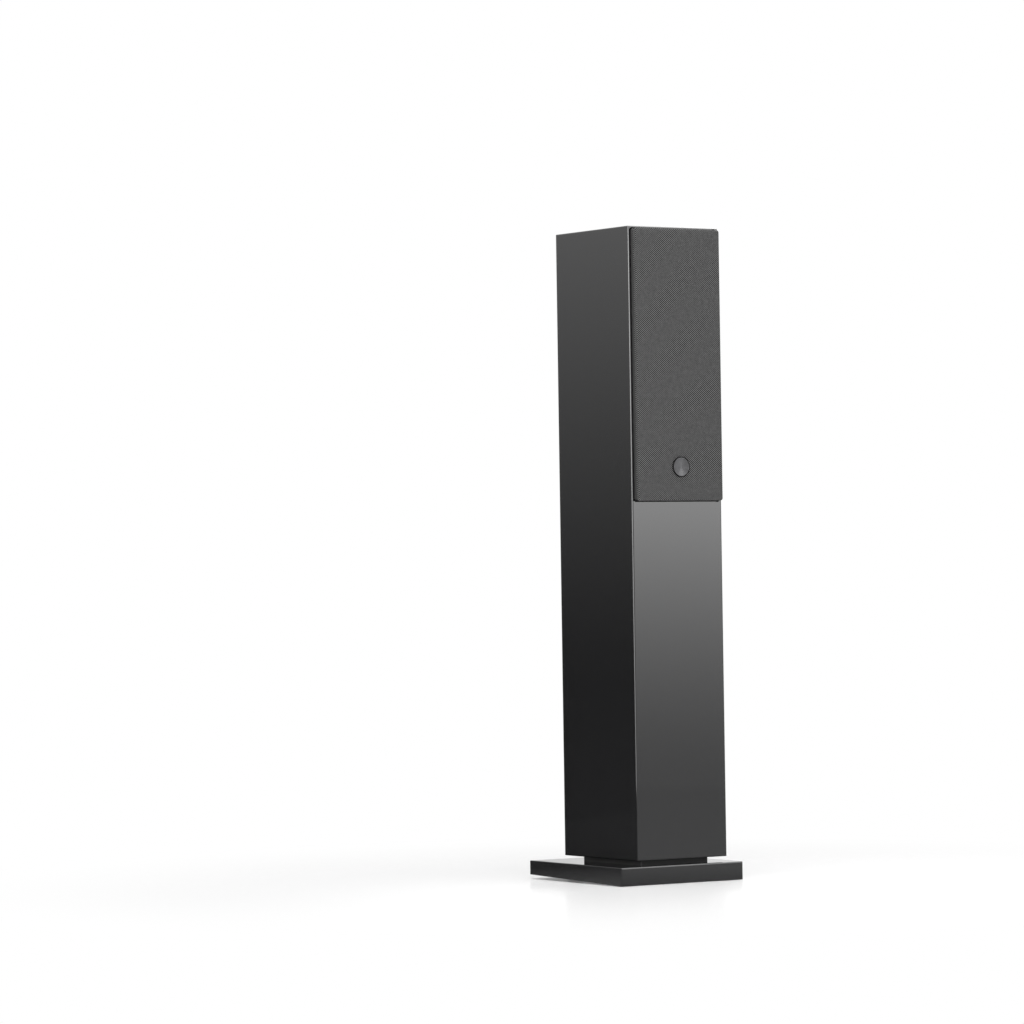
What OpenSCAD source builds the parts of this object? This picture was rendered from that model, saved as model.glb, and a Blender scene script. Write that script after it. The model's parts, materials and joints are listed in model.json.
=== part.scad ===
// Slim floorstanding speaker: square lacquered column on a wide base plate,
// with a cloth grille over two woofers and a tweeter, and a bass port and terminals behind.
// The front faces -Y, +Z is up, and the origin lies under the middle of the whole speaker.

/* [Cabinet] */
// Width of the column
cab_w = 150; // [140:1:190]
// Depth of the column without the grille
cab_d = 181; // [165:1:260]
// Height of the column
cab_h = 870; // [830:5:1100]
// Thickness of the side, top, bottom and rear panels
wall_t = 15; // [12:1:15]
// Thickness of the front baffle
baffle_t = 20; // [20:1:25]
// Rounding of the column's edges
edge_r = 2; // [1:0.5:2]
// Thickness of the window braces
brace_t = 12; // [9:1:15]

/* [Base] */
// How far the base plate stands out past each side of the column
base_side = 27; // [15:1:60]
// How far the base plate stands out behind the column
base_back = 49; // [30:1:80]
// Thickness of the base plate at the front
base_t = 25.4; // [20:0.2:35]
// How much the underside rises from front to back
base_rise = 5.8; // [0:0.2:8]
// Height of the recessed neck between the base plate and the column
neck_h = 8; // [5:1:20]
// How far the neck is set back from each face of the column
neck_inset = 19; // [10:1:25]
// Height of the front feet under the base plate
foot_h = 0.6; // [0.6:0.2:4]
// Diameter of the feet
foot_d = 22; // [14:1:30]
// How far each foot's centre lies in from the front or back edge
foot_edge = 20; // [16:1:40]
// Distance between the two front feet
front_feet = 164; // [80:1:170]
// Distance between the two back feet
back_feet = 76; // [60:1:170]

/* [Grille] */
// Height of the grille panel
grille_h = 374.4; // [370:0.2:420]
// How far the grille panel stands proud of the column's front
grille_proud = 10; // [10:0.5:16]
// Depth of the pocket that the grille sits in
pocket_depth = 3; // [2:0.5:4]
// Width of the rim beside the pocket
rim_side = 2.2; // [2:0.1:4]
// Width of the rim above the pocket
rim_top = 1.4; // [1.2:0.1:4]
// Gap between the grille panel and the pocket's walls
grille_gap = 1.8; // [0.8:0.1:3]
// Rounding of the grille panel's corners
grille_r = 3.5; // [2:0.5:6]
// Thickness of the grille cloth
cloth_t = 0.8; // [0.5:0.1:1.2]

/* [Badge] */
// Outer diameter of the badge's ring
badge_d = 28; // [20:1:34]
// Diameter of the badge's dish
dish_d = 25; // [16:1:26]
// How far the badge stands out from the cloth
badge_t = 2; // [1.5:0.1:3]
// Height of the badge's centre above the grille's lower edge
badge_up = 46.6; // [34:0.2:60]

/* [Drivers] */
// Outer diameter of the woofer's frame
woofer_d = 104; // [102:1:112]
// Radius of the woofer's cone
cone_r = 34.5; // [30:0.5:35]
// Depth of the upper woofer's centre below the column's top
woofer_upper_drop = 62; // [60:1:66]
// Depth of the tweeter's centre below the column's top
tweeter_drop = 154; // [153:1:158]
// Depth of the lower woofer's centre below the column's top
woofer_lower_drop = 246; // [245:1:250]
// Outer diameter of the tweeter's faceplate
tweeter_d = 72; // [70:1:76]
// Radius of the tweeter's dome
dome_r = 12.5; // [12:0.1:12.8]

/* [Back] */
// Height of the bass port's centre above the column's bottom
port_up = 256; // [250:1:265]
// Inner radius of the bass port
port_r = 25; // [18:1:26]
// Length of the bass port
port_len = 110; // [60:5:120]
// Height of the terminal cup's centre above the column's bottom
cup_up = 106; // [80:1:120]
// Inner width of the terminal cup
cup_w = 54; // [50:1:60]
// Depth of the terminal cup below the rear panel's face
cup_depth = 28; // [26:1:34]
// Distance between the two binding posts
post_spacing = 19.05; // [19.05:0.05:22]
// Radius of the banana socket in each binding post
socket_r = 2; // [1.9:0.05:2.1]
// Depth of the banana socket
socket_depth = 12; // [8:1:13]
// Radius of a binding post's cap
cap_r = 7; // [6:0.5:8]

/* [Hidden] */
$fn = 64;
fuzz = 0.01;

// Overall places
front_y = -(base_back + cab_d - grille_proud - badge_t) / 2;
back_y = front_y + cab_d;
base_back_y = back_y + base_back;
base_w = cab_w + 2 * base_side;
base_d = cab_d + base_back;
base_top_z = foot_h + base_t;
cab_z = base_top_z + neck_h;
top_z = cab_z + cab_h;
inner_x = cab_w / 2 - wall_t;
inner_front_y = front_y + baffle_t;
inner_back_y = back_y - wall_t;
inner_mid_y = (inner_front_y + inner_back_y) / 2;
pocket_y = front_y + pocket_depth;

// Bolts that hold the base plate and the neck to the column
bolt_r = 3;
bolt_head_r = 5;
bolt_head_t = 6;
bolt_seat_z = base_top_z - 12;
bolt_in = 16;
bolt_span = 96;
hex_key_r = 2.5;
insert_r = 5;
insert_l = 13;

// Grille
pocket_w = cab_w - 2 * rim_side;
pocket_top_z = top_z - rim_top;
grille_w = pocket_w - 2 * grille_gap;
grille_top_z = pocket_top_z - grille_gap;
grille_z = grille_top_z - grille_h;
pocket_z = grille_z - grille_gap;
grille_t = grille_proud + pocket_depth;
frame_t = grille_t - cloth_t;
grille_front_y = front_y - grille_proud;
grille_front_r = 2.5;
badge_z = grille_z + badge_up;
woofer_window_r = 45;
tweeter_window_r = 30;
magnet_r = 5;
magnet_t = 4;
disc_t = 3;
magnet_x = grille_w / 2 - 11;
magnet_drops = [16, tweeter_drop, grille_h + rim_top + grille_gap - 16];
pin_r = 2;
pin_l = 8;

// Driver places: each list holds the centres' heights
woofer_upper_z = top_z - woofer_upper_drop;
woofer_lower_z = top_z - woofer_lower_drop;
tweeter_z = top_z - tweeter_drop;

// Woofer, in its own frame: z is 0 at the pocket's floor and points out of the cabinet
flange_t = 4;
flange_in_r = cone_r + 6.5;
basket_in_r = 44;
roll_r = 3.8;
rubber_t = 0.8;
roll_mid_r = cone_r + 3.4;
land_r = roll_mid_r + roll_r + 2.8;
lip_z = -1;
former_r = 13;
former_t = 0.4;
wind_t = 0.6;
wind_l = 12;
cone_neck_z = -20;
spider_z = -28.6;
spider_r = 31;
basket_z = -36;
top_plate_t = 5;
woofer_magnet_t = 14;
woofer_magnet_r = 38;
top_plate_r = 36;
plate_hole_r = 14.2;
pole_r = 12.1;
coil_mid_z = basket_z - top_plate_t / 2;
former_end_z = coil_mid_z - wind_l / 2 - 1;
magnet_top_z = basket_z - top_plate_t;
yoke_top_z = magnet_top_z - woofer_magnet_t;
screw_r = 1.6;
head_r = 3.2;
head_t = 2.2;
screw_l = 15;
screw_clear = 0.4;
woofer_pcd = woofer_d - 8;
cap_edge_r = 15;
cap_rise = 5;
cap_base_z = -18;
tab = [14, 8, 4];
tab_y = -38;
tab_z = -32;

// Tweeter, in the same kind of frame
horn_r = 24;
plate_mid_r = 18;
tweeter_cut_r = 28;
tweeter_steel_r = 26;
tweeter_magnet_r = 24;
tweeter_magnet_in_r = 17;
tweeter_plate_t = 4;
tweeter_magnet_t = 8;
tweeter_gap_r = dome_r + 0.4;
tweeter_pole_r = dome_r - 0.9;
tweeter_former_l = 5.4;
tweeter_base_z = -3.6;
dome_rise = 4.5;
tweeter_pcd = tweeter_d - 8;
tweeter_yoke_z = -flange_t - tweeter_plate_t - tweeter_magnet_t;

// Back
port_z = cab_z + port_up;
port_wall = 2.5;
flare_r = port_r + 9;
cup_z = cab_z + cup_up;
cup_wall = 2.5;
cup_flange_t = 2.5;
cup_flange_w = cup_w + 18;
cup_hole_w = cup_w + 2 * cup_wall + 1;
cup_floor_y = back_y - cup_depth + cup_wall;
cup_screw = cup_w / 2 + 5.4;
cup_screw_r = 1.3;
cup_head_r = 2.4;
cup_head_t = 1.4;
post_base_r = 6;
post_base_t = 5;
stud_r = 3.5;
stud_l = 20;
turn_clear = 0.1;
collar_t = 1.5;
collar_r = 6.4;
cap_l = 14;
nut_af = 10;
nut_t = 4;
nut_stick = 6;

// Crossover and inside
board_w = 90;
board_h = 100;
board_t = 1.6;
board_gap = 8;
board_z = port_z + 105;
board_y = inner_back_y - board_gap - board_t;
brace_z = [cab_z + 196, cab_z + 436];
brace_hole_w = 76;
brace_hole_d = 88;
brace_hole_r = 12;
wadding_clear = 0.3;
wadding_size = [100, 32, 330];
wadding_z = brace_z[1] + 46;
cable_r = 2;
cable_sides = 8;

// Cable routes, from the crossover side to the far end
route_input = [
    [0, cup_floor_y - cup_wall, cup_z + 19], [0, cup_floor_y - cup_wall - 6, cup_z + 19],
    [8, cup_floor_y - cup_wall - 12, cup_z + 24], [26, 24, 190],
    [33, 18, 230], [35, 18, 290], [33, 24, 334], [28, 40, 352], [28, board_y, 352]
];
route_upper = [
    [30, board_y, 438], [30, 41, 438], [31, 24, 450], [32, 0, 474], [46, -18, 520],
    [48, -26, 680], [14, -70, 776], [0, -74, 794], [0, -74, woofer_upper_z + tab_y - tab[1] / 2]
];
route_tweeter = [
    [-30, board_y, 438], [-30, 41, 438], [-31, 24, 450], [-32, 0, 474], [-46, -18, 520],
    [-48, -24, 640], [-40, -32, 715], [-6, -78, tweeter_z],
    [-6, pocket_y - tweeter_yoke_z + tweeter_plate_t, tweeter_z]
];
route_lower = [
    [4, board_y, 440], [4, 41, 440], [3, 20, 454], [0, -46, 530],
    [0, -74, 590], [0, -74, woofer_lower_z + tab_y - tab[1] / 2]
];

// ---- Shared shapes ----

// Rectangle centred on the origin, with round corners
module round_rect(w, h, r) {
    square([w - 2 * r, h], center = true);
    square([w, h - 2 * r], center = true);
    for (x = [-1, 1], y = [-1, 1])
        translate([x * (w / 2 - r), y * (h / 2 - r)])
            circle(r);
}

// Box with all twelve edges rounded, standing on its lower face
module round_box(w, d, h, r) {
    intersection() {
        linear_extrude(h)
            round_rect(w, d, r);
        translate([0, d / 2, h / 2])
            rotate([90, 0, 0])
                linear_extrude(d)
                    round_rect(w, h, r);
        translate([-w / 2, 0, h / 2])
            rotate([90, 0, 90])
                linear_extrude(w)
                    round_rect(d, h, r);
    }
}

// Box between two corners
module slab(low, high) {
    translate(low)
        cube(high - low);
}

// Puts a piece on the front, with its own z pointing out of the cabinet
module on_front(z, y = pocket_y, x = 0) {
    translate([x, y, z])
        rotate([90, 0, 0])
            children();
}

// Puts a piece on the back, with its own z pointing out behind
module on_back(z, y = back_y, x = 0) {
    translate([x, y, z])
        rotate([-90, 0, 0])
            children();
}

// Flat ring
module ring(r_out, r_in, t, z = 0) {
    translate([0, 0, z])
        difference() {
            cylinder(r = r_out, h = t);
            translate([0, 0, -1])
                cylinder(r = r_in, h = t + 2);
        }
}

// Hole cutter of radius r from z down by l
module bore(r, l, z = 0) {
    translate([0, 0, z - l])
        cylinder(r = r, h = l);
}

// ---- Cabinet ----

module column() {
    translate([0, (front_y + back_y) / 2, cab_z])
        round_box(cab_w, cab_d, cab_h, edge_r);
}

module panel(low, high) {
    intersection() {
        column();
        slab(low, high);
    }
}

module screw_circle(pcd) {
    for (a = [45:90:315])
        rotate([0, 0, a])
            translate([pcd / 2, 0, 0])
                children();
}

// Cuts one driver's recess, through hole and pilot holes
module driver_cut(d, hole_r, pcd) {
    bore(d / 2, flange_t + fuzz, fuzz);
    bore(hole_r, baffle_t + 1);
    screw_circle(pcd)
        bore(screw_r, screw_l);
}

module baffle() {
    color("black")
        difference() {
            panel([-cab_w, front_y - 1, 0], [cab_w, inner_front_y, top_z + 1]);
            translate([0, pocket_y, (pocket_z + pocket_top_z) / 2])
                rotate([90, 0, 0])
                    linear_extrude(pocket_depth + 1)
                        round_rect(pocket_w, pocket_top_z - pocket_z, grille_r + grille_gap);
            for (z = [woofer_upper_z, woofer_lower_z])
                on_front(z)
                    driver_cut(woofer_d, basket_in_r, woofer_pcd);
            on_front(tweeter_z)
                driver_cut(tweeter_d, tweeter_cut_r, tweeter_pcd);
            at_magnets()
                bore(magnet_r, disc_t);
        }
}

module side(s) {
    color("black")
        panel(
            [s > 0 ? inner_x : -cab_w, inner_front_y, 0],
            [s > 0 ? cab_w : -inner_x, back_y + 1, top_z + 1]
        );
}

module top_panel() {
    color("black")
        panel([-inner_x, inner_front_y, top_z - wall_t], [inner_x, back_y + 1, top_z + 1]);
}

// Places of the four base bolts
module at_bolts() {
    for (x = [-1, 1], y = [-1, 1])
        translate([x * (cab_w / 2 - neck_inset - bolt_in), inner_mid_y + y * bolt_span / 2, 0])
            children();
}

module bottom_panel() {
    color("black")
        difference() {
            panel([-inner_x, inner_front_y, cab_z - 1], [inner_x, back_y + 1, cab_z + wall_t]);
            at_bolts()
                translate([0, 0, cab_z - 1])
                    cylinder(r = insert_r, h = insert_l + 1);
        }
}

module rear_panel() {
    color("black")
        difference() {
            slab(
                [-inner_x, inner_back_y, cab_z + wall_t],
                [inner_x, back_y, top_z - wall_t]
            );
            on_back(port_z, back_y + 1)
                bore(port_r + port_wall, wall_t + 2);
            on_back(port_z)
                bore(flare_r, port_wall);
            translate([0, back_y + 1, cup_z])
                rotate([90, 0, 0])
                    linear_extrude(wall_t + 2)
                        round_rect(cup_hole_w, cup_hole_w, 4);
            at_cup_screws()
                bore(cup_screw_r, 12);
        }
}

module braces() {
    color("tan")
        for (z = brace_z)
            translate([0, 0, z])
                difference() {
                    slab(
                        [-inner_x, inner_front_y, -brace_t / 2],
                        [inner_x, inner_back_y, brace_t / 2]
                    );
                    translate([0, inner_mid_y, -brace_t])
                        linear_extrude(2 * brace_t)
                            round_rect(brace_hole_w, brace_hole_d, brace_hole_r);
                }
}

// ---- Base ----

module neck() {
    color("black")
        difference() {
            translate([0, (front_y + back_y) / 2, base_top_z])
                linear_extrude(neck_h)
                    round_rect(cab_w - 2 * neck_inset, cab_d - 2 * neck_inset, 2);
            at_bolts()
                translate([0, 0, base_top_z - 1])
                    cylinder(r = bolt_r + screw_clear, h = neck_h + 2);
        }
}

// Height of the base plate's underside at a place along y
function under_z(y) = foot_h + base_rise * (y - front_y) / base_d;

// Cuts the square corner of an edge down to a quarter round; the corner is at the origin
module corner_cut(r) {
    difference() {
        translate([-r, -r])
            square(r + 1);
        translate([-r, -r])
            circle(r);
    }
}

// Side view of the base plate, with x for y and y for z
module base_profile() {
    difference() {
        polygon([
            [front_y, under_z(front_y)],
            [base_back_y, under_z(base_back_y)],
            [base_back_y, base_top_z],
            [front_y, base_top_z]
        ]);
        translate([base_back_y, base_top_z])
            corner_cut(edge_r);
        translate([front_y, base_top_z])
            mirror([1, 0])
                corner_cut(edge_r);
    }
}

module base_plate() {
    mid_y = (front_y + base_back_y) / 2;
    color("black")
        difference() {
            intersection() {
                translate([-base_w / 2, 0, 0])
                    rotate([90, 0, 90])
                        linear_extrude(base_w)
                            base_profile();
                translate([0, mid_y, 0])
                    linear_extrude(base_top_z)
                        round_rect(base_w, base_d, edge_r);
                translate([0, base_back_y, 0])
                    rotate([90, 0, 0])
                        linear_extrude(base_d)
                            difference() {
                                translate([-base_w / 2, 0])
                                    square([base_w, base_top_z]);
                                for (s = [0, 1])
                                    mirror([s, 0])
                                        translate([base_w / 2, base_top_z])
                                            corner_cut(edge_r);
                            }
            }
            at_bolts() {
                translate([0, 0, -1])
                    cylinder(r = bolt_r + screw_clear, h = base_top_z + 2);
                translate([0, 0, -1])
                    cylinder(r = bolt_head_r + 1, h = bolt_seat_z + 1);
            }
        }
}

module feet() {
    places = [[front_feet / 2, front_y + foot_edge], [back_feet / 2, base_back_y - foot_edge]];
    color("dimgray")
        intersection() {
            for (s = [-1, 1], p = places)
                translate([s * p[0], p[1], 0])
                    cylinder(d = foot_d, h = base_t);
            translate([-base_w / 2, 0, 0])
                rotate([90, 0, 90])
                    linear_extrude(base_w)
                        polygon([
                            [front_y, 0],
                            [base_back_y, 0],
                            [base_back_y, under_z(base_back_y)],
                            [front_y, under_z(front_y)]
                        ]);
        }
}

module base_bolts() {
    color("silver")
        at_bolts() {
            difference() {
                translate([0, 0, bolt_seat_z - bolt_head_t])
                    cylinder(r = bolt_head_r, h = bolt_head_t);
                translate([0, 0, bolt_seat_z - bolt_head_t - 1])
                    cylinder(r = hex_key_r, h = 4, $fn = 6);
            }
            translate([0, 0, bolt_seat_z])
                cylinder(r = bolt_r, h = cab_z + insert_l - 2 - bolt_seat_z);
        }
}

module base_inserts() {
    color("goldenrod")
        at_bolts()
            ring(insert_r, bolt_r, insert_l, cab_z);
}

// ---- Grille ----

// Places of the magnets, at the pocket's floor
module at_magnets() {
    for (x = [-1, 1], drop = magnet_drops)
        on_front(top_z - drop, pocket_y, x * magnet_x)
            children();
}

// Grille panel's block with its front edges rounded, set in by a margin all round but the back
module grille_block(margin) {
    w = grille_w - 2 * margin;
    h = grille_h - 2 * margin;
    t = grille_t - margin;
    r = grille_front_r - margin / 2;
    translate([0, pocket_y, grille_z + grille_h / 2])
        intersection() {
            rotate([90, 0, 0])
                linear_extrude(t)
                    round_rect(w, h, grille_r - margin);
            translate([0, t - r, -h / 2])
                linear_extrude(h)
                    translate([0, -t])
                        round_rect(w, 2 * t, r);
            translate([-w / 2, t - r, 0])
                rotate([90, 0, 90])
                    linear_extrude(w)
                        translate([-t, 0])
                            round_rect(2 * t, h, r);
        }
}

module grille_frame() {
    color("black")
        difference() {
            grille_block(cloth_t);
            for (z = [woofer_upper_z, woofer_lower_z])
                on_front(z, pocket_y + 1)
                    cylinder(r = woofer_window_r, h = grille_t + 2);
            on_front(tweeter_z, pocket_y + 1)
                cylinder(r = tweeter_window_r, h = grille_t + 2);
            at_magnets()
                bore(magnet_r, magnet_t + 1, magnet_t);
            on_front(badge_z)
                bore(pin_r, pin_l, frame_t);
        }
}

module grille_cloth() {
    color("dimgray")
        difference() {
            grille_block(0);
            grille_block(cloth_t);
            on_front(badge_z)
                bore(pin_r, 2 * cloth_t, grille_t + fuzz);
        }
}

module grille_magnets() {
    color("silver")
        at_magnets()
            cylinder(r = magnet_r, h = magnet_t);
}

module catch_discs() {
    color("silver")
        at_magnets()
            bore(magnet_r, disc_t);
}

module badge_ring() {
    color("black")
        on_front(badge_z, grille_front_y)
            rotate_extrude()
                polygon([
                    [dish_d / 2, 0],
                    [badge_d / 2, 0],
                    [badge_d / 2, badge_t - 0.6],
                    [badge_d / 2 - 0.6, badge_t],
                    [dish_d / 2, badge_t]
                ]);
}

module badge_dish() {
    hollow = 1;
    steps = 6;
    thick = badge_t - 0.2;
    dish_r = dish_d / 2;
    hollow_r = dish_r - 0.5;
    color("silver")
        on_front(badge_z, grille_front_y) {
            rotate_extrude()
                polygon(concat(
                    [[0, 0], [dish_r, 0], [dish_r, thick]],
                    [
                        for (i = [steps:-1:0])
                            [hollow_r * i / steps, thick - hollow * (1 - pow(i / steps, 2))]
                    ]
                ));
            bore(pin_r, pin_l + cloth_t - 0.5);
        }
}

// ---- Drivers ----

module driver_screw() {
    slot_l = 4;
    slot_w = 0.8;
    difference() {
        bore(head_r, head_t);
        for (a = [0, 90])
            rotate([0, 0, a])
                translate([-slot_l / 2, -slot_w / 2, -1])
                    cube([slot_l, slot_w, 2]);
    }
    bore(screw_r, screw_l - head_t, -head_t);
}

module driver_screws() {
    color("black") {
        for (z = [woofer_upper_z, woofer_lower_z])
            on_front(z)
                screw_circle(woofer_pcd)
                    driver_screw();
        on_front(tweeter_z)
            screw_circle(tweeter_pcd)
                driver_screw();
    }
}

// Clearance holes and head seats through a driver's flange
module flange_holes(pcd) {
    screw_circle(pcd) {
        bore(screw_r + screw_clear, flange_t + 2, 1);
        bore(head_r + screw_clear / 2, head_t + 1, 1);
    }
}

module basket() {
    windows = 6;
    window_w = 22;
    ledge_z = spider_z - rubber_t / 2;
    difference() {
        union() {
            rotate_extrude()
                polygon([
                    [flange_in_r, 0],
                    [woofer_d / 2, 0],
                    [woofer_d / 2, -flange_t],
                    [basket_in_r - 1, -flange_t],
                    [34.6, basket_z],
                    [20, basket_z],
                    [20, basket_z + 2],
                    [spider_r - 3, basket_z + 2],
                    [spider_r - 3, ledge_z],
                    [spider_r + 2.6, ledge_z],
                    [flange_in_r, -flange_t - 1]
                ]);
            translate([-tab[0] / 2, tab_y - tab[1] / 2, tab_z - tab[2] / 2])
                cube(tab);
        }
        for (i = [0:windows - 1])
            rotate([0, 0, i * 360 / windows])
                translate([spider_r - 4, -window_w / 2, ledge_z + 1])
                    cube([20, window_w, 20]);
        flange_holes(woofer_pcd);
    }
}

module woofer_steel() {
    ring(top_plate_r, plate_hole_r, top_plate_t, magnet_top_z);
    bore(top_plate_r - 2, top_plate_t, yoke_top_z);
    bore(pole_r, basket_z - yoke_top_z + fuzz, basket_z);
}

module woofer_magnet() {
    ring(woofer_magnet_r, 19, woofer_magnet_t, yoke_top_z);
}

// Corrugated disc that centres the voice coil
module spider() {
    steps = 18;
    amp = 0.8;
    land = spider_r - 2.5;
    function wave(i) = i == 0 || i == steps ? 0 : amp * sin(i * 90);
    function at(i, dz) = [former_r + (land - former_r) * i / steps, spider_z + wave(i) + dz];
    rotate_extrude()
        polygon(concat(
            [for (i = [0:steps]) at(i, rubber_t / 2)],
            [[spider_r, spider_z + rubber_t / 2], [spider_r, spider_z - rubber_t / 2]],
            [for (i = [steps:-1:0]) at(i, -rubber_t / 2)]
        ));
}

module surround() {
    lip_w = 2.2;
    in_leg = roll_mid_r - roll_r - rubber_t / 2;
    out_leg = roll_mid_r + roll_r - rubber_t / 2;
    rotate_extrude() {
        intersection() {
            translate([roll_mid_r, 0])
                difference() {
                    circle(roll_r + rubber_t / 2);
                    circle(roll_r - rubber_t / 2);
                }
            square([land_r, roll_r + rubber_t]);
        }
        translate([in_leg, lip_z])
            square([rubber_t, -lip_z + fuzz]);
        translate([in_leg - lip_w, lip_z])
            square([lip_w + fuzz, rubber_t]);
        translate([out_leg, 0])
            square([land_r - out_leg, rubber_t]);
    }
}

module cone() {
    lip = cone_r - 3.5;
    paper_t = 1;
    rotate_extrude()
        polygon([
            [former_r, cone_neck_z],
            [lip, lip_z],
            [cone_r, lip_z],
            [cone_r, lip_z - paper_t],
            [lip + 0.4, lip_z - paper_t],
            [former_r, cone_neck_z - 1.1 * paper_t]
        ]);
}

module coil(r, t, wind, l, mid_z, top, end) {
    ring(r, r - t, top - end, end);
    ring(r + wind, r, l, mid_z - l / 2);
}

// Thin spherical cap with its edge on the plane z
module thin_dome(edge, rise, z, t) {
    ball_r = (edge * edge + rise * rise) / (2 * rise);
    rotate_extrude()
        intersection() {
            translate([0, z + rise - ball_r])
                difference() {
                    circle(ball_r);
                    circle(ball_r - t);
                }
            translate([0, z])
                square([edge, rise + 1]);
        }
}

module woofer_part(z, part) {
    on_front(z) {
        if (part == "basket") color("dimgray") basket();
        if (part == "steel") color("silver") woofer_steel();
        if (part == "magnet") color("gray") woofer_magnet();
        if (part == "spider") color("khaki") spider();
        if (part == "surround") color("black") surround();
        if (part == "cone") color("dimgray") cone();
        if (part == "coil") color("peru")
            coil(former_r, former_t, wind_t, wind_l, coil_mid_z, cone_neck_z, former_end_z);
        if (part == "cap") color("black") thin_dome(cap_edge_r, cap_rise, cap_base_z, 0.6);
    }
}

module tweeter_plate() {
    color("dimgray")
        on_front(tweeter_z)
            difference() {
                rotate_extrude()
                    polygon([
                        [plate_mid_r, -flange_t],
                        [plate_mid_r, -2.5],
                        [horn_r, 0],
                        [tweeter_d / 2, 0],
                        [tweeter_d / 2, -flange_t]
                    ]);
                flange_holes(tweeter_pcd);
            }
}

module tweeter_steel() {
    color("silver")
        on_front(tweeter_z) {
            ring(tweeter_steel_r, tweeter_gap_r, tweeter_plate_t, -flange_t - tweeter_plate_t);
            bore(tweeter_steel_r, tweeter_plate_t, tweeter_yoke_z);
            bore(tweeter_pole_r, -flange_t - tweeter_yoke_z - 0.2, -flange_t - 0.2);
        }
}

module tweeter_magnet() {
    color("gray")
        on_front(tweeter_z)
            ring(tweeter_magnet_r, tweeter_magnet_in_r, tweeter_magnet_t, tweeter_yoke_z);
}

module tweeter_surround() {
    land_t = tweeter_base_z + flange_t;
    color("black")
        on_front(tweeter_z)
            ring(plate_mid_r - 0.5, dome_r, land_t, -flange_t);
}

module tweeter_dome() {
    color("silver")
        on_front(tweeter_z)
            thin_dome(dome_r, dome_rise, tweeter_base_z, 0.4);
}

module tweeter_coil() {
    color("peru")
        on_front(tweeter_z)
            coil(
                dome_r - 0.2, 0.3, 0.3, 3.6, -flange_t - tweeter_plate_t / 2,
                tweeter_base_z, tweeter_base_z - tweeter_former_l
            );
}

// ---- Crossover and inside ----

module crossover_board() {
    color("darkgreen")
        slab(
            [-board_w / 2, board_y, board_z - board_h / 2],
            [board_w / 2, board_y + board_t, board_z + board_h / 2]
        );
}

module crossover_spacers() {
    from_edge = 6;
    color("silver")
        for (x = [-1, 1], z = [-1, 1])
            translate([
                x * (board_w / 2 - from_edge),
                inner_back_y,
                board_z + z * (board_h / 2 - from_edge)
            ])
                rotate([90, 0, 0])
                    cylinder(r = 3, h = board_gap);
}

module crossover_inductors() {
    winding_r = 15;
    core_r = 6;
    winding_l = 14;
    color("peru")
        for (z = [-20, 16])
            on_front(board_z + z, board_y, -20)
                ring(winding_r, core_r, winding_l);
}

module crossover_capacitors() {
    body_l = 34;
    body_r = 6.5;
    pitch = 16;
    color("royalblue")
        for (i = [-1:1])
            translate([2, board_y - body_r, board_z + pitch * i])
                rotate([0, 90, 0])
                    cylinder(r = body_r, h = body_l);
}

module port_tube() {
    lip_r = 5;
    color("black")
        on_back(port_z)
            difference() {
                union() {
                    bore(port_r + port_wall, port_len);
                    bore(flare_r, port_wall);
                }
                bore(port_r, port_len + 2, 1);
                rotate_extrude()
                    translate([port_r, -lip_r])
                        difference() {
                            square([lip_r, lip_r + 1]);
                            translate([lip_r, 0])
                                circle(lip_r);
                        }
            }
}

module wadding() {
    color("ivory")
        slab(
            [
                -wadding_size[0] / 2,
                inner_back_y - wadding_clear - wadding_size[1],
                wadding_z
            ],
            [
                wadding_size[0] / 2,
                inner_back_y - wadding_clear,
                wadding_z + wadding_size[2]
            ]
        );
}

// ---- Terminals ----

module at_cup_screws() {
    for (x = [-1, 1], z = [-1, 1])
        on_back(cup_z + z * cup_screw, back_y, x * cup_screw)
            children();
}

module at_post(s) {
    on_back(cup_z, cup_floor_y, s * post_spacing / 2)
        children();
}

module terminal_cup() {
    flange_r = 6;
    body_r = 3.5;
    inside_r = 1.5;
    color("black")
        difference() {
            union() {
                on_back(cup_z)
                    linear_extrude(cup_flange_t)
                        round_rect(cup_flange_w, cup_flange_w, flange_r);
                on_back(cup_z, back_y - cup_depth)
                    linear_extrude(cup_depth)
                        round_rect(cup_w + 2 * cup_wall, cup_w + 2 * cup_wall, body_r);
            }
            on_back(cup_z, cup_floor_y)
                linear_extrude(cup_depth + cup_flange_t)
                    round_rect(cup_w, cup_w, inside_r);
            for (s = [-1, 1])
                at_post(s)
                    bore(stud_r, cup_wall + 2, 1);
            at_cup_screws() {
                bore(cup_screw_r + screw_clear / 2, 4, cup_flange_t + 1);
                bore(cup_head_r + 0.1, 2, cup_flange_t - cup_head_t + 2);
            }
        }
}

module terminal_screws() {
    color("silver")
        at_cup_screws() {
            bore(cup_head_r, cup_head_t, cup_flange_t);
            bore(cup_screw_r, 11 + cup_flange_t - cup_head_t, cup_flange_t - cup_head_t);
        }
}

// Fixed part of a binding post: its flanged base, threaded stud and inner nut
module post(s) {
    color("gold")
        at_post(s) {
            difference() {
                union() {
                    cylinder(r = post_base_r, h = post_base_t);
                    cylinder(r = stud_r, h = stud_l);
                }
                translate([0, 0, stud_l - socket_depth])
                    cylinder(r = socket_r, h = socket_depth + 1);
            }
            bore(stud_r, cup_wall + nut_stick);
            translate([0, 0, -cup_wall - nut_t])
                difference() {
                    cylinder(d = nut_af * 2 / sqrt(3), h = nut_t, $fn = 6);
                    translate([0, 0, -1])
                        cylinder(r = stud_r, h = nut_t + 2);
                }
        }
}

module collar(s) {
    color("gold")
        at_post(s)
            ring(collar_r, stud_r + turn_clear, collar_t, post_base_t);
}

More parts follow.
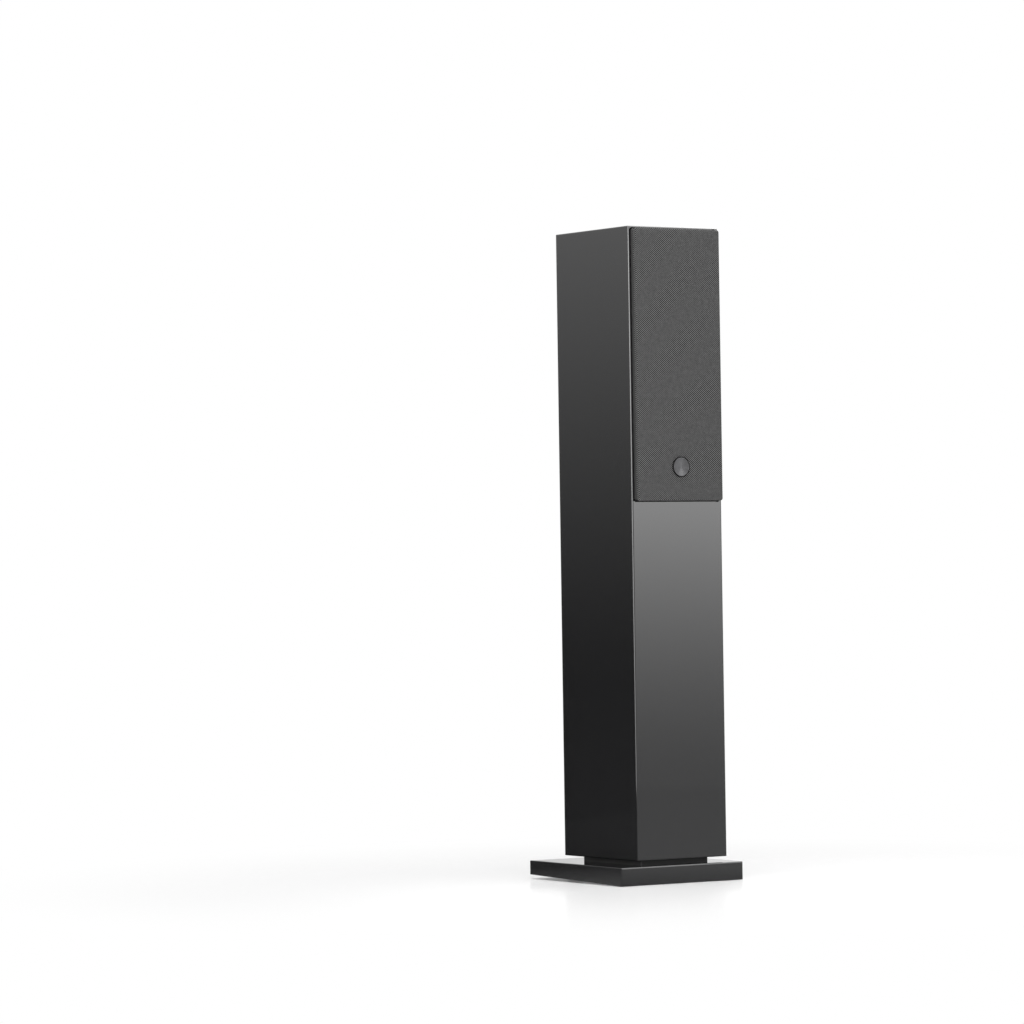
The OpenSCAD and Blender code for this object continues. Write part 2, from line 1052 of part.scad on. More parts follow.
module cap(s) {
    grips = 12;
    grip_r = 0.9;
    color(s < 0 ? "red" : "black")
        at_post(s)
            translate([0, 0, post_base_t + collar_t])
                difference() {
                    cylinder(r = cap_r, h = cap_l);
                    translate([0, 0, -1])
                        cylinder(r = stud_r + turn_clear, h = cap_l + 2);
                    for (i = [0:grips - 1])
                        rotate([0, 0, i * 360 / grips])
                            translate([cap_r + grip_r / 3, 0, 2])
                                cylinder(r = grip_r, h = cap_l);
                }
}

// ---- Cables ----

// Point on the smooth curve through the route, at t along the stretch from point i
function catmull(p, i, t) =
    let (
        n = len(p) - 1,
        a = i > 0 ? p[i - 1] : 2 * p[0] - p[1],
        b = p[i],
        c = p[i + 1],
        d = i < n - 1 ? p[i + 2] : 2 * p[n] - p[n - 1]
    )
    0.5 * (2 * b + (c - a) * t + (2 * a - 5 * b + 4 * c - d) * t * t
        + (3 * b - a - 3 * c + d) * t * t * t);
function smooth(p, steps) = concat(
    [for (i = [0:len(p) - 2], k = [0:steps - 1]) catmull(p, i, k / steps)],
    [p[len(p) - 1]]
);
function unit(v) = v / norm(v);
function heading(p, i) = unit(p[min(i + 1, len(p) - 1)] - p[max(i - 1, 0)]);
function across(d) = unit(cross(d, abs(d[0]) < 0.9 ? [1, 0, 0] : [0, 0, 1]));

// Round cable along a route, as one closed mesh with a flat end at each end
module cable(route) {
    path = smooth(route, 2);
    n = len(path);
    m = cable_sides;
    rings = [
        for (i = [0:n - 1])
            let (
                d = i == 0 ? unit(route[1] - route[0])
                    : i == n - 1 ? unit(route[len(route) - 1] - route[len(route) - 2])
                    : heading(path, i),
                u = across(d),
                v = cross(d, u)
            )
            for (k = [0:m - 1])
                path[i] + cable_r * (cos(k * 360 / m) * u + sin(k * 360 / m) * v)
    ];
    sides = [
        for (i = [0:n - 2], k = [0:m - 1])
            [i * m + k, (i + 1) * m + k, (i + 1) * m + (k + 1) % m, i * m + (k + 1) % m]
    ];
    polyhedron(
        rings,
        concat(
            [[for (k = [0:m - 1]) k]],
            sides,
            [[for (k = [m - 1:-1:0]) (n - 1) * m + k]]
        )
    );
}

baffle();
side(-1);  // side_left
side(1);  // side_right
top_panel();
bottom_panel();
rear_panel();
braces();
neck();
base_plate();
feet();
base_bolts();
base_inserts();
grille_frame();
grille_cloth();
grille_magnets();
catch_discs();
badge_ring();
badge_dish();
woofer_part(woofer_upper_z, "basket");  // woofer_upper_basket
woofer_part(woofer_upper_z, "steel");  // woofer_upper_steel
woofer_part(woofer_upper_z, "magnet");  // woofer_upper_magnet
woofer_part(woofer_upper_z, "spider");  // woofer_upper_spider
woofer_part(woofer_upper_z, "surround");  // woofer_upper_surround
woofer_part(woofer_upper_z, "cone");  // woofer_upper_cone
woofer_part(woofer_upper_z, "coil");  // woofer_upper_coil
woofer_part(woofer_upper_z, "cap");  // woofer_upper_cap
woofer_part(woofer_lower_z, "basket");  // woofer_lower_basket
woofer_part(woofer_lower_z, "steel");  // woofer_lower_steel
woofer_part(woofer_lower_z, "magnet");  // woofer_lower_magnet
woofer_part(woofer_lower_z, "spider");  // woofer_lower_spider
woofer_part(woofer_lower_z, "surround");  // woofer_lower_surround
woofer_part(woofer_lower_z, "cone");  // woofer_lower_cone
woofer_part(woofer_lower_z, "coil");  // woofer_lower_coil
woofer_part(woofer_lower_z, "cap");  // woofer_lower_cap
tweeter_plate();
tweeter_steel();
tweeter_magnet();
tweeter_surround();
tweeter_dome();
tweeter_coil();
driver_screws();
crossover_board();
crossover_spacers();
crossover_inductors();
crossover_capacitors();
port_tube();
wadding();
terminal_cup();
terminal_screws();
post(-1);  // post_red
post(1);  // post_black
collar(-1);  // collar_red
collar(1);  // collar_black
cap(-1);  // cap_red
cap(1);  // cap_black
color("black") cable(route_input);  // cable_input
color("black") cable(route_upper);  // cable_upper
color("black") cable(route_tweeter);  // cable_tweeter
color("black") cable(route_lower);  // cable_lower
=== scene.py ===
import json
import math

import bpy
from mathutils import Euler, Matrix, Vector


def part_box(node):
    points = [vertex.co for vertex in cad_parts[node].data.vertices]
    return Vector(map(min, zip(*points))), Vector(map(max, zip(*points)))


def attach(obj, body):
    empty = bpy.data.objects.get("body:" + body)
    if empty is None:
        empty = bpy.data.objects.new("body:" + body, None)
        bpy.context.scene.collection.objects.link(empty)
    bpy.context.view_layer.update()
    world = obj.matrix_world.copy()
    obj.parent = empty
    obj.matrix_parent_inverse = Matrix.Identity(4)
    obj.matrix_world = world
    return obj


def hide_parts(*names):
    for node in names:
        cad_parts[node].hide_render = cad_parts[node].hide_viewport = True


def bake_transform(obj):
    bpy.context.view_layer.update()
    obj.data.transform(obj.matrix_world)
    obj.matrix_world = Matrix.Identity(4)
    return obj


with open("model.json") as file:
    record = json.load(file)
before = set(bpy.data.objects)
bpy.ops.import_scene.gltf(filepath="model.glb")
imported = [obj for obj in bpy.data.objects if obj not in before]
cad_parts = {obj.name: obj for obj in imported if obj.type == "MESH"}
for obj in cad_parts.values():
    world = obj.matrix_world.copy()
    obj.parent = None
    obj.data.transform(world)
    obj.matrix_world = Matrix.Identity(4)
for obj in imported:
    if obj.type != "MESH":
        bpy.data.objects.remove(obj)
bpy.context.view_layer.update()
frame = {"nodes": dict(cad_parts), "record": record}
NODES = frame["nodes"]
MM = 0.001

# Light levels: the fill that the world gives, the floor's own glow, and its share of mirror
FILL_LEVEL = 0.48
FLOOR_LIFT = 0.13
FLOOR_SHEEN = 0.28

# Distances in metres: the sheen fades out around a spot in front, and the floor turns
# to plain white around the speaker
SHEEN_SPOT = (-0.4, -0.6, 0)
SHEEN_FADE = (0.5, 1.5)
WHITE_FADE = (0.2, 1.0)

# A card's sides fade between these shares of its width, from its middle
CARD_FADE = (0.2, 0.5)

# The weave's tone, which holds painted shade where the threads dip: how far the threads' waves and
# slubs move it, and where it rests
WAVE_GAIN = 0.9
WAVE_REST = 0.42
SLUB_GAIN = 0.35

# The recess behind the grille: its margin around the grille, what the front face keeps,
# and how far it goes behind the grille's back
RECESS_EDGE = 2 * MM
RECESS_START = 0.3 * MM
RECESS_BACK = 1 * MM
RECESS_ROUGHNESS = 0.7


# ---- Camera, floor and lights ----

def make_camera():
    """A long lens, low and to the left of the speaker's front."""
    data = bpy.data.cameras.new("camera")
    data.lens = 158.85
    data.sensor_width = 36
    data.clip_end = 50
    camera = bpy.data.objects.new("camera", data)
    bpy.context.scene.collection.objects.link(camera)
    heading, pitch, roll = math.radians(32.767), math.radians(0.737), math.radians(-0.854)
    turn = Euler((math.pi / 2 + pitch, 0, -heading)).to_matrix().to_4x4()
    camera.matrix_world = (
        Matrix.Translation((-3.5588, -5.2176, 0.4344)) @ turn @ Matrix.Rotation(roll, 4, "Z")
    )
    bpy.context.scene.camera = camera


def new_tree(name):
    material = bpy.data.materials.new(name)
    material.use_nodes = True
    tree = material.node_tree
    tree.nodes.clear()
    return material, tree


def add(tree, kind, **values):
    """Adds a node, sets its properties, and fills the inputs that are named."""
    node = tree.nodes.new(kind)
    for key, value in values.items():
        if hasattr(node, key):
            setattr(node, key, value)
        else:
            node.inputs[key.replace("_", " ")].default_value = value
    return node


def make_world():
    """White to the camera and in reflections, and a soft even fill for everything else."""
    world = bpy.data.worlds.new("studio")
    bpy.context.scene.world = world
    world.use_nodes = True
    tree = world.node_tree
    tree.nodes.clear()
    path = tree.nodes.new("ShaderNodeLightPath")
    seen = add(tree, "ShaderNodeMath", operation="MAXIMUM")
    both = add(tree, "ShaderNodeMath", operation="MAXIMUM")
    tree.links.new(path.outputs["Is Camera Ray"], seen.inputs[0])
    tree.links.new(path.outputs["Is Glossy Ray"], seen.inputs[1])
    tree.links.new(seen.outputs[0], both.inputs[0])
    tree.links.new(path.outputs["Is Transmission Ray"], both.inputs[1])
    level = add(tree, "ShaderNodeMapRange", To_Min=FILL_LEVEL, To_Max=1.0)
    tree.links.new(both.outputs[0], level.inputs["Value"])
    back = add(tree, "ShaderNodeBackground", Color=(1, 1, 1, 1))
    tree.links.new(level.outputs[0], back.inputs["Strength"])
    out = tree.nodes.new("ShaderNodeOutputWorld")
    tree.links.new(back.outputs[0], out.inputs["Surface"])


def painted_gloss_floor(tree, place):
    """The floor as gloss shows it, a painted reflection: a glow that is bright in front on the right
    and dark behind on the left.
    """
    along = add(tree, "ShaderNodeVectorMath", operation="DOT_PRODUCT")
    along.inputs[1].default_value = (0.56, -0.83, 0)
    tree.links.new(place.outputs["Object"], along.inputs[0])
    level = add(tree, "ShaderNodeMapRange", From_Min=-0.4, From_Max=0.4, To_Min=0.1, To_Max=1.0)
    tree.links.new(along.outputs["Value"], level.inputs["Value"])
    glow = tree.nodes.new("ShaderNodeEmission")
    tree.links.new(level.outputs[0], glow.inputs["Strength"])
    return glow


def make_floor():
    """A pale floor that keeps the speaker's shadow and a faint reflection, and ends in white."""
    bpy.ops.object.select_all(action="DESELECT")
    bpy.ops.mesh.primitive_plane_add(size=40, location=(0, 0, 0))
    floor = bpy.context.object
    floor.name = "floor"
    material, tree = new_tree("pale_floor")
    link = tree.links.new
    path = tree.nodes.new("ShaderNodeLightPath")
    place = tree.nodes.new("ShaderNodeTexCoord")
    matte = add(tree, "ShaderNodeBsdfDiffuse", Color=(0.9, 0.9, 0.9, 1))
    glow = add(tree, "ShaderNodeEmission", Strength=FLOOR_LIFT)
    lift = tree.nodes.new("ShaderNodeAddShader")
    link(matte.outputs[0], lift.inputs[0])
    link(glow.outputs[0], lift.inputs[1])
    sheen = add(tree, "ShaderNodeBsdfGlossy", Roughness=0.2, Color=(1, 1, 1, 1))
    near = tree.nodes.new("ShaderNodeMixShader")
    apart = add(tree, "ShaderNodeVectorMath", operation="DISTANCE")
    apart.inputs[1].default_value = SHEEN_SPOT
    link(place.outputs["Object"], apart.inputs[0])
    mirror = add(
        tree, "ShaderNodeMapRange", interpolation_type="SMOOTHSTEP",
        From_Min=SHEEN_FADE[0], From_Max=SHEEN_FADE[1], To_Min=FLOOR_SHEEN, To_Max=0,
    )
    link(apart.outputs["Value"], mirror.inputs["Value"])
    link(mirror.outputs[0], near.inputs[0])
    link(lift.outputs[0], near.inputs[1])
    link(sheen.outputs[0], near.inputs[2])
    reach = add(tree, "ShaderNodeVectorMath", operation="LENGTH")
    link(place.outputs["Object"], reach.inputs[0])
    fade = add(
        tree, "ShaderNodeMapRange", interpolation_type="SMOOTHSTEP",
        From_Min=WHITE_FADE[0], From_Max=WHITE_FADE[1],
    )
    link(reach.outputs["Value"], fade.inputs["Value"])
    white = tree.nodes.new("ShaderNodeEmission")
    far = tree.nodes.new("ShaderNodeMixShader")
    link(fade.outputs[0], far.inputs[0])
    link(near.outputs[0], far.inputs[1])
    link(white.outputs[0], far.inputs[2])
    # Rays that reach the floor from gloss see only the painted reflection glow, not the floor's own
    # shading.
    choose = tree.nodes.new("ShaderNodeMixShader")
    link(path.outputs["Is Glossy Ray"], choose.inputs[0])
    link(far.outputs[0], choose.inputs[1])
    link(painted_gloss_floor(tree, place).outputs[0], choose.inputs[2])
    out = tree.nodes.new("ShaderNodeOutputMaterial")
    link(choose.outputs[0], out.inputs["Surface"])
    floor.data.materials.append(material)


def make_card(name, centre, turn, size, low, high, foot, head, curve=1.0):
    """A studio card that only shows in gloss. Its glow runs from low at the height foot
    to high at the height head, and curve above 1 keeps it low for longer. Its left and
    right edges fade into the white around it."""
    bpy.ops.object.select_all(action="DESELECT")
    bpy.ops.mesh.primitive_plane_add(size=1)
    card = bpy.context.object
    card.name = name
    card.scale = (*size, 1)
    card.location = centre
    card.rotation_euler = [math.radians(angle) for angle in turn]
    card.visible_camera = False
    card.visible_diffuse = False
    card.visible_shadow = False
    card.visible_transmission = False
    material, tree = new_tree(name)
    place = tree.nodes.new("ShaderNodeTexCoord")
    split = tree.nodes.new("ShaderNodeSeparateXYZ")
    tree.links.new(place.outputs["Object"], split.inputs[0])
    share = [(z - centre[2]) / size[1] for z in (foot, head)]
    rise = add(tree, "ShaderNodeMapRange", From_Min=share[0], From_Max=share[1])
    tree.links.new(split.outputs["Y"], rise.inputs["Value"])
    bend = add(tree, "ShaderNodeMath", operation="POWER")
    bend.inputs[1].default_value = curve
    tree.links.new(rise.outputs[0], bend.inputs[0])
    ramp = add(tree, "ShaderNodeMapRange", To_Min=low, To_Max=high)
    tree.links.new(bend.outputs[0], ramp.inputs["Value"])
    side = add(tree, "ShaderNodeMath", operation="ABSOLUTE")
    tree.links.new(split.outputs["X"], side.inputs[0])
    edge = add(
        tree, "ShaderNodeMapRange", interpolation_type="SMOOTHSTEP",
        From_Min=CARD_FADE[0], From_Max=CARD_FADE[1], To_Min=1, To_Max=0,
    )
    tree.links.new(side.outputs[0], edge.inputs["Value"])
    blend = add(tree, "ShaderNodeMix")
    blend.inputs["A"].default_value = 1
    tree.links.new(edge.outputs[0], blend.inputs["Factor"])
    tree.links.new(ramp.outputs[0], blend.inputs["B"])
    glow = tree.nodes.new("ShaderNodeEmission")
    tree.links.new(blend.outputs[0], glow.inputs["Strength"])
    out = tree.nodes.new("ShaderNodeOutputMaterial")
    tree.links.new(glow.outputs[0], out.inputs["Surface"])
    card.data.materials.append(material)


def make_lamp(name, centre, target, size, power):
    data = bpy.data.lights.new(name, "AREA")
    data.shape = "RECTANGLE"
    data.size, data.size_y = size
    data.energy = power
    lamp = bpy.data.objects.new(name, data)
    lamp.location = centre
    lamp.rotation_euler = (Vector(target) - Vector(centre)).to_track_quat("-Z", "Y").to_euler()
    lamp.visible_glossy = False
    bpy.context.scene.collection.objects.link(lamp)


def make_studio():
    make_world()
    make_floor()
    make_lamp("top_light", (-0.3, -0.8, 2.8), (0, 0, 0.4), (2.4, 2.0), 50)
    make_lamp("front_light", (-1.4, -2.95, 1.5), (0, 0, 0.45), (1.8, 1.8), 28)
    make_card("front_card", (1.6, -2.3, 1.0), (90, 0, 34), (1.3, 2.0), 1.1, 5.2, 0.0, 0.56, 1.7)
    make_card("left_card", (-2.4, -1.2, 1.0), (90, 0, -70), (3.6, 2.0), 4.0, 13.0, 0.0, 1.0)
    make_card("back_card", (-0.9, 1.3, 1.0), (90, 0, 145), (3.2, 2.0), 0.07, 1.1, 0.22, 1.05, 1.5)
    make_card("top_card", (0.4, 1.0, 2.0), (0, 0, 0), (4.6, 4.5), 7.0, 7.0, 0.0, 1.0)


# ---- Finishes ----

def principled(tree, color, roughness, metallic=0.0, **more):
    node = tree.nodes.new("ShaderNodeBsdfPrincipled")
    node.inputs["Base Color"].default_value = (*color, 1)
    node.inputs["Roughness"].default_value = roughness
    node.inputs["Metallic"].default_value = metallic
    for key, value in more.items():
        node.inputs[key.replace("_", " ")].default_value = value
    out = tree.nodes.new("ShaderNodeOutputMaterial")
    tree.links.new(node.outputs[0], out.inputs["Surface"])
    return node


def new_group(name, inputs, outputs):
    """An empty node group: inputs maps a name to its default, outputs a name to its kind."""
    group = bpy.data.node_groups.new(name, "ShaderNodeTree")
    for label, value in inputs.items():
        kind = {float: "Float", tuple: "Color", Vector: "Vector"}[type(value)]
        socket = group.interface.new_socket(label, in_out="INPUT", socket_type="NodeSocket" + kind)
        if kind != "Vector":
            socket.default_value = value
    for label, kind in outputs.items():
        group.interface.new_socket(label, in_out="OUTPUT", socket_type="NodeSocket" + kind)
    return group, group.nodes.new("NodeGroupInput"), group.nodes.new("NodeGroupOutput")


def sum_up(group, operation, first, second):
    """A math node on two links or numbers; returns its output."""
    node = add(group, "ShaderNodeMath", operation=operation)
    for place, value in enumerate((first, second)):
        if isinstance(value, (int, float)):
            node.inputs[place].default_value = value
        else:
            group.links.new(value, node.inputs[place])
    return node.outputs[0]


def make_grain_group():
    """Fine uneven grain: shifts a colour and a roughness a little, and gives a height."""
    group, start, end = new_group(
        "fine grain",
        {"Color": (0.5, 0.5, 0.5, 1), "Roughness": 0.5, "Scale": 400.0, "Tone Shift": 0.1,
         "Roughness Shift": 0.1, "Bump": 0.1},
        {"Color": "Color", "Roughness": "Float", "Normal": "Vector"},
    )
    link = group.links.new
    place = group.nodes.new("ShaderNodeTexCoord")
    fine = add(group, "ShaderNodeTexNoise", Detail=4)
    broad = add(group, "ShaderNodeTexNoise", Scale=14, Detail=2)
    for noise in (fine, broad):
        link(place.outputs["Object"], noise.inputs["Vector"])
    link(start.outputs["Scale"], fine.inputs["Scale"])
    centred = sum_up(group, "SUBTRACT", sum_up(group, "ADD", fine.outputs[0], broad.outputs[0]), 1.0)
    tone = sum_up(group, "ADD", sum_up(group, "MULTIPLY", centred, start.outputs["Tone Shift"]), 1.0)
    shade = add(group, "ShaderNodeVectorMath", operation="SCALE")
    link(start.outputs["Color"], shade.inputs[0])
    link(tone, shade.inputs["Scale"])
    link(shade.outputs[0], end.inputs["Color"])
    shift = sum_up(group, "MULTIPLY", centred, start.outputs["Roughness Shift"])
    link(sum_up(group, "ADD", shift, start.outputs["Roughness"]), end.inputs["Roughness"])
    bump = add(group, "ShaderNodeBump", Distance=0.0002)
    link(start.outputs["Bump"], bump.inputs["Strength"])
    link(fine.outputs[0], bump.inputs["Height"])
    link(bump.outputs[0], end.inputs["Normal"])
    return group


def make_weave_group():
    """Plain weave: threads pass over and under each other in a chequer; the under tone is painted
    shade where the threads dip, and slubs vary the tone at random.
    """
    group, start, end = new_group(
        "plain weave",
        {"Over": (0.2, 0.2, 0.2, 1), "Shaded Under": (0.02, 0.02, 0.02, 1), "Across": 0.0034,
         "Up": 0.0028, "Bump": 0.5},
        {"Color": "Color", "Normal": "Vector"},
    )
    link = group.links.new
    place = group.nodes.new("ShaderNodeTexCoord")
    slub = add(group, "ShaderNodeTexNoise", Scale=160, Detail=3)
    link(place.outputs["Object"], slub.inputs["Vector"])
    split = group.nodes.new("ShaderNodeSeparateXYZ")
    link(place.outputs["Object"], split.inputs[0])
    waves = []
    for axis, pitch in (("X", "Across"), ("Z", "Up")):
        along = sum_up(group, "ADD", split.outputs[axis], split.outputs["Y"])
        turns = sum_up(group, "DIVIDE", along, start.outputs[pitch])
        wave = add(group, "ShaderNodeMath", operation="SINE")
        link(sum_up(group, "MULTIPLY", turns, 2 * math.pi), wave.inputs[0])
        waves.append(wave.outputs[0])
    check = sum_up(group, "MULTIPLY", waves[0], waves[1])
    height = sum_up(group, "MULTIPLY_ADD", check, WAVE_GAIN)
    height.node.inputs[2].default_value = WAVE_REST
    uneven = sum_up(group, "MULTIPLY", sum_up(group, "SUBTRACT", slub.outputs[0], 0.5), SLUB_GAIN)
    level = sum_up(group, "ADD", height, uneven)
    level.node.use_clamp = True
    # Painted shade: the colour goes to the dark under tone where the weave is low.
    mix = add(group, "ShaderNodeMix", data_type="RGBA")
    link(level, mix.inputs["Factor"])
    link(start.outputs["Shaded Under"], mix.inputs[6])
    link(start.outputs["Over"], mix.inputs[7])
    link(mix.outputs[2], end.inputs["Color"])
    bump = add(group, "ShaderNodeBump", Distance=0.0003)
    link(start.outputs["Bump"], bump.inputs["Strength"])
    link(level, bump.inputs["Height"])
    link(bump.outputs[0], end.inputs["Normal"])
    return group


def make_rings_group():
    """Fine rings about an axis along Y, as a lathe leaves them: a tone and a normal."""
    group, start, end = new_group(
        "lathe rings",
        {"Place": Vector(), "Color": (0.5, 0.5, 0.5, 1), "Pitch": 0.0004, "Tone Shift": 0.2,
         "Bump": 0.5},
        {"Color": "Color", "Normal": "Vector"},
    )
    link = group.links.new
    flat = add(group, "ShaderNodeVectorMath", operation="MULTIPLY")
    flat.inputs[1].default_value = (1, 0, 1)
    link(start.outputs["Place"], flat.inputs[0])
    radius = add(group, "ShaderNodeVectorMath", operation="LENGTH")
    link(flat.outputs[0], radius.inputs[0])
    turns = sum_up(group, "DIVIDE", radius.outputs["Value"], start.outputs["Pitch"])
    fine = add(group, "ShaderNodeTexNoise", noise_dimensions="1D", Scale=1.0, Detail=3)
    link(turns, fine.inputs["W"])
    centred = sum_up(group, "SUBTRACT", fine.outputs[0], 0.5)
    tone = sum_up(group, "ADD", sum_up(group, "MULTIPLY", centred, start.outputs["Tone Shift"]), 1.0)
    shade = add(group, "ShaderNodeVectorMath", operation="SCALE")
    link(start.outputs["Color"], shade.inputs[0])
    link(tone, shade.inputs["Scale"])
    link(shade.outputs[0], end.inputs["Color"])
    bump = add(group, "ShaderNodeBump", Distance=0.0003)
    link(start.outputs["Bump"], bump.inputs["Strength"])
    link(fine.outputs[0], bump.inputs["Height"])
    link(bump.outputs[0], end.inputs["Normal"])
    return group


def use_group(tree, group, values):
    """Places a group in a material with its own values; returns its node."""
    node = tree.nodes.new("ShaderNodeGroup")
    node.node_tree = group
    for key, value in values.items():
        node.inputs[key].default_value = value
    return node


def grained(name, group, color, roughness, metallic=0.0, scale=400, tone=0.1, rough=0.05,
            bump=0.1, **more):
    """A finish with fine grain in its colour, roughness and normal."""
    material, tree = new_tree(name)
    node = principled(tree, color, roughness, metallic, **more)
    grain = use_group(tree, group, {
        "Color": (*color, 1), "Roughness": roughness, "Scale": scale, "Tone Shift": tone,
        "Roughness Shift": rough, "Bump": bump,
    })
    for socket in ("Roughness", "Normal"):
        tree.links.new(grain.outputs[socket], node.inputs[socket])
    tree.links.new(grain.outputs["Color"], node.inputs["Base Color"])
    return material


def dull_and_darken(material, low, high):
    """Makes a material rough and takes most of its specular away between two corners, which leaves
    that box nearly black.
    """
    tree = material.node_tree
    node = next(each for each in tree.nodes if each.type == "BSDF_PRINCIPLED")
    place = tree.nodes.new("ShaderNodeTexCoord")
    apart = add(tree, "ShaderNodeVectorMath", operation="SUBTRACT")
    apart.inputs[1].default_value = (low + high) / 2
    tree.links.new(place.outputs["Object"], apart.inputs[0])
    size = add(tree, "ShaderNodeVectorMath", operation="ABSOLUTE")
    tree.links.new(apart.outputs[0], size.inputs[0])
    split = tree.nodes.new("ShaderNodeSeparateXYZ")
    tree.links.new(size.outputs[0], split.inputs[0])
    inside = 1.0
    for axis, half in zip("XYZ", (high - low) / 2):
        inside = sum_up(tree, "MULTIPLY", sum_up(tree, "LESS_THAN", split.outputs[axis], half), inside)
    gloss = node.inputs["Roughness"].links[0].from_socket
    rough = sum_up(tree, "MAXIMUM", gloss, sum_up(tree, "MULTIPLY", inside, RECESS_ROUGHNESS))
    tree.links.new(rough, node.inputs["Roughness"])
    shine = add(tree, "ShaderNodeMapRange", To_Min=0.5, To_Max=0.05)
    tree.links.new(inside, shine.inputs["Value"])
    tree.links.new(shine.outputs[0], node.inputs["Specular IOR Level"])


def woven(name, group, over, under, across, up, bump, **more):
    """A plain-woven cloth, with painted shade where its threads dip."""
    material, tree = new_tree(name)
    node = principled(tree, over, 0.9, **more)
    weave = use_group(tree, group, {
        "Over": (*over, 1), "Shaded Under": (*under, 1), "Across": across, "Up": up, "Bump": bump,
    })
    tree.links.new(weave.outputs["Color"], node.inputs["Base Color"])
    tree.links.new(weave.outputs["Normal"], node.inputs["Normal"])
    return material


def turned_metal(name, group, color, roughness, centre, pitch, tone, bump, metallic=1.0):
    """A surface with lathe rings about an axis along Y through centre."""
    material, tree = new_tree(name)
    node = principled(
        tree, color, roughness, metallic, Anisotropic=0.95, Anisotropic_Rotation=0.25,
    )
    around = add(tree, "ShaderNodeTangent", direction_type="RADIAL", axis="Y")
    tree.links.new(around.outputs[0], node.inputs["Tangent"])
    place = tree.nodes.new("ShaderNodeTexCoord")
    centred = add(tree, "ShaderNodeMapping", Location=-Vector(centre))
    tree.links.new(place.outputs["Object"], centred.inputs["Vector"])
    rings = use_group(tree, group, {
        "Color": (*color, 1), "Pitch": pitch, "Tone Shift": tone, "Bump": bump,
    })
    tree.links.new(centred.outputs[0], rings.inputs["Place"])
    tree.links.new(rings.outputs["Color"], node.inputs["Base Color"])
    tree.links.new(rings.outputs["Normal"], node.inputs["Normal"])
    return material


# Each plain finish: its colour, its roughness, how metallic it is, and its grain
GRAINED = {
    "gloss_lacquer": ((0.009, 0.009, 0.0095), 0.04, 0, dict(scale=120, rough=0.01, bump=0.01)),
    "bare_board": ((0.42, 0.30, 0.19), 0.8, 0, dict(scale=900, tone=0.5, bump=0.4)),
    "neck_black": ((0.004, 0.004, 0.004), 0.6, 0, dict(scale=700, bump=0.2)),
    "foot_rubber": ((0.02, 0.02, 0.02), 0.75, 0, dict(scale=900, bump=0.3)),
    "plated_steel": ((0.6, 0.6, 0.58), 0.3, 1, dict(scale=500)),
    "insert_brass": ((0.7, 0.5, 0.2), 0.3, 1, dict(scale=500)),
    "grille_board": ((0.008, 0.008, 0.008), 0.7, 0, dict(scale=700, bump=0.3)),
    "nickel_magnet": ((0.65, 0.64, 0.62), 0.2, 1, dict(scale=300)),
    "badge_ring": (
        (0.004, 0.004, 0.004), 0.5, 0, dict(scale=300, bump=0.02, Specular_IOR_Level=0.1)
    ),
    "basket_metal": ((0.025, 0.025, 0.025), 0.4, 0, dict(scale=600, bump=0.2)),
    "motor_steel": ((0.45, 0.45, 0.46), 0.35, 1, dict(scale=400)),
    "ferrite": ((0.05, 0.05, 0.055), 0.6, 0, dict(scale=900, bump=0.5)),
    "surround_rubber": ((0.016, 0.016, 0.016), 0.55, 0, dict(scale=600, bump=0.1)),
    "cone_paper": ((0.03, 0.03, 0.033), 0.6, 0, dict(scale=500, tone=0.4, bump=0.4)),
    "coil_copper": ((0.55, 0.2, 0.07), 0.35, 1, dict(scale=900)),
    "cap_plastic": ((0.02, 0.02, 0.02), 0.35, 0, dict(scale=400, bump=0.05)),
    "plate_plastic": ((0.02, 0.02, 0.02), 0.45, 0, dict(scale=800, bump=0.2)),
    "dome_metal": ((0.5, 0.5, 0.52), 0.3, 1, dict(scale=400, bump=0.03)),
    "black_screw": ((0.02, 0.02, 0.02), 0.35, 0.6, dict(scale=500)),
    "circuit_board": ((0.015, 0.12, 0.04), 0.4, 0, dict(scale=300)),
    "capacitor_film": ((0.03, 0.08, 0.4), 0.3, 0, dict(scale=300)),
    "port_plastic": ((0.018, 0.018, 0.018), 0.42, 0, dict(scale=900, bump=0.15)),
    "wadding_fibre": ((0.8, 0.79, 0.75), 0.95, 0, dict(scale=250, tone=0.3, bump=1.0)),
    "gold_plate": ((0.85, 0.6, 0.25), 0.2, 1, dict(scale=300, bump=0.02)),
    "red_plastic": ((0.5, 0.012, 0.012), 0.3, 0, dict(scale=400, bump=0.05)),
    "black_plastic": ((0.015, 0.015, 0.015), 0.3, 0, dict(scale=400, bump=0.05)),
    "cable_jacket": ((0.02, 0.02, 0.02), 0.5, 0, dict(scale=400, bump=0.1)),
}


def make_finishes():
    grain = make_grain_group()
    weave = make_weave_group()
    rings = make_rings_group()
    finishes = {
        name: grained(name, grain, color, roughness, metallic, **more)
        for name, (color, roughness, metallic, more) in GRAINED.items()
    }
    low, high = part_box("grille_frame")
    edge = Vector((RECESS_EDGE, 0, RECESS_EDGE))
    low.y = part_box("baffle")[0].y + RECESS_START
    high.y += RECESS_BACK
    dull_and_darken(finishes["gloss_lacquer"], low - edge, high + edge)
    finishes["grille_cloth"] = woven(
        "grille_cloth", weave, (0.17, 0.17, 0.17), (0.002, 0.002, 0.002), 0.0034, 0.0028, 0.4,
        Specular_IOR_Level=0.03,
    )
    finishes["spider_cloth"] = woven(
        "spider_cloth", weave, (0.6, 0.42, 0.16), (0.3, 0.18, 0.06), 0.0012, 0.0012, 0.5
    )
    finishes["badge_metal"] = turned_metal(
        "badge_metal", rings, (0.06, 0.06, 0.062), 0.3, middle("badge_dish"), 0.0009, 0.9, 0.12
    )
    return finishes


# ---- Shaping tools ----

def middle(node):
    low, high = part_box(node)
    return (low + high) / 2


def deselect():
    bpy.ops.object.select_all(action="DESELECT")


def select_only(obj):
    deselect()
    obj.select_set(True)
    bpy.context.view_layer.objects.active = obj


